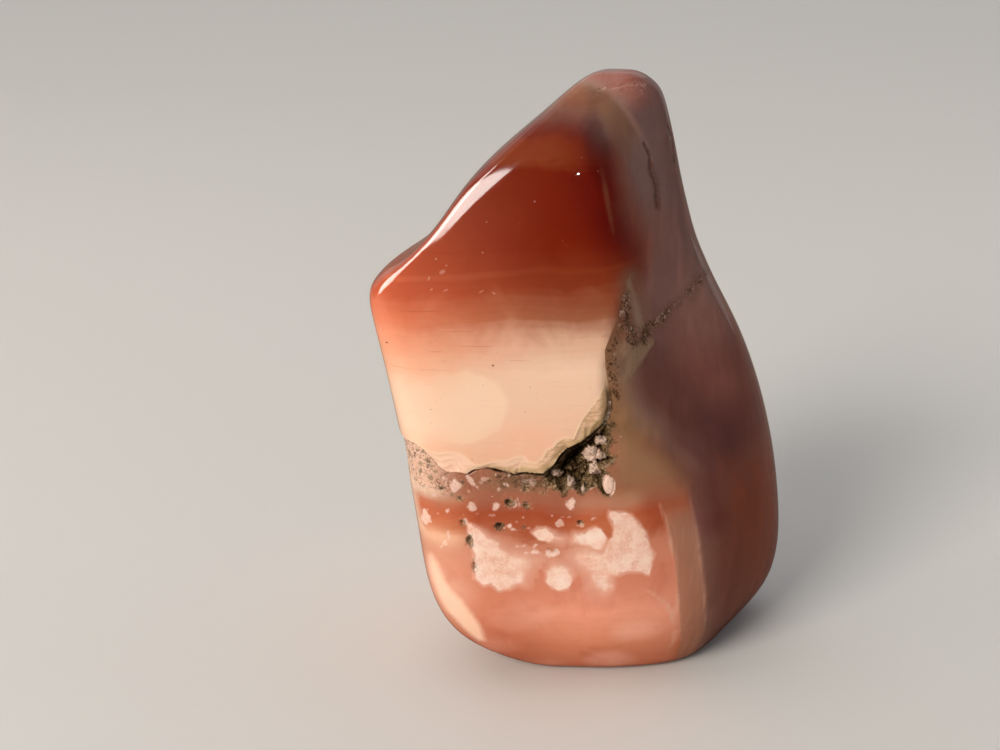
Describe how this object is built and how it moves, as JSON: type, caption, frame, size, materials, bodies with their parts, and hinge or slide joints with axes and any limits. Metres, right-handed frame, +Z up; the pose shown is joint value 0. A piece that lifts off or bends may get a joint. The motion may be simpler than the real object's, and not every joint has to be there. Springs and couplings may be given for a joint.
{
  "type": "polished carnelian",
  "caption": "Polished free-form carnelian stone, broad at the base and drawn out to a blunt tip, standing on a small flat spot.",
  "frame": {"origin": "on the flat spot that the stone stands on, below its middle", "axes": "+Z up towards the tip, -Y the broad banded front face, +X the shaded side"},
  "size_m": [0.0583, 0.0377, 0.0812],
  "materials": {
    "carnelian": "polished chalcedony, banded red, cream, salmon and mauve-grey, slightly translucent"
  },
  "bodies": {
    "root": {"carnelian": "carnelian"}
  },
  "joints": []
}
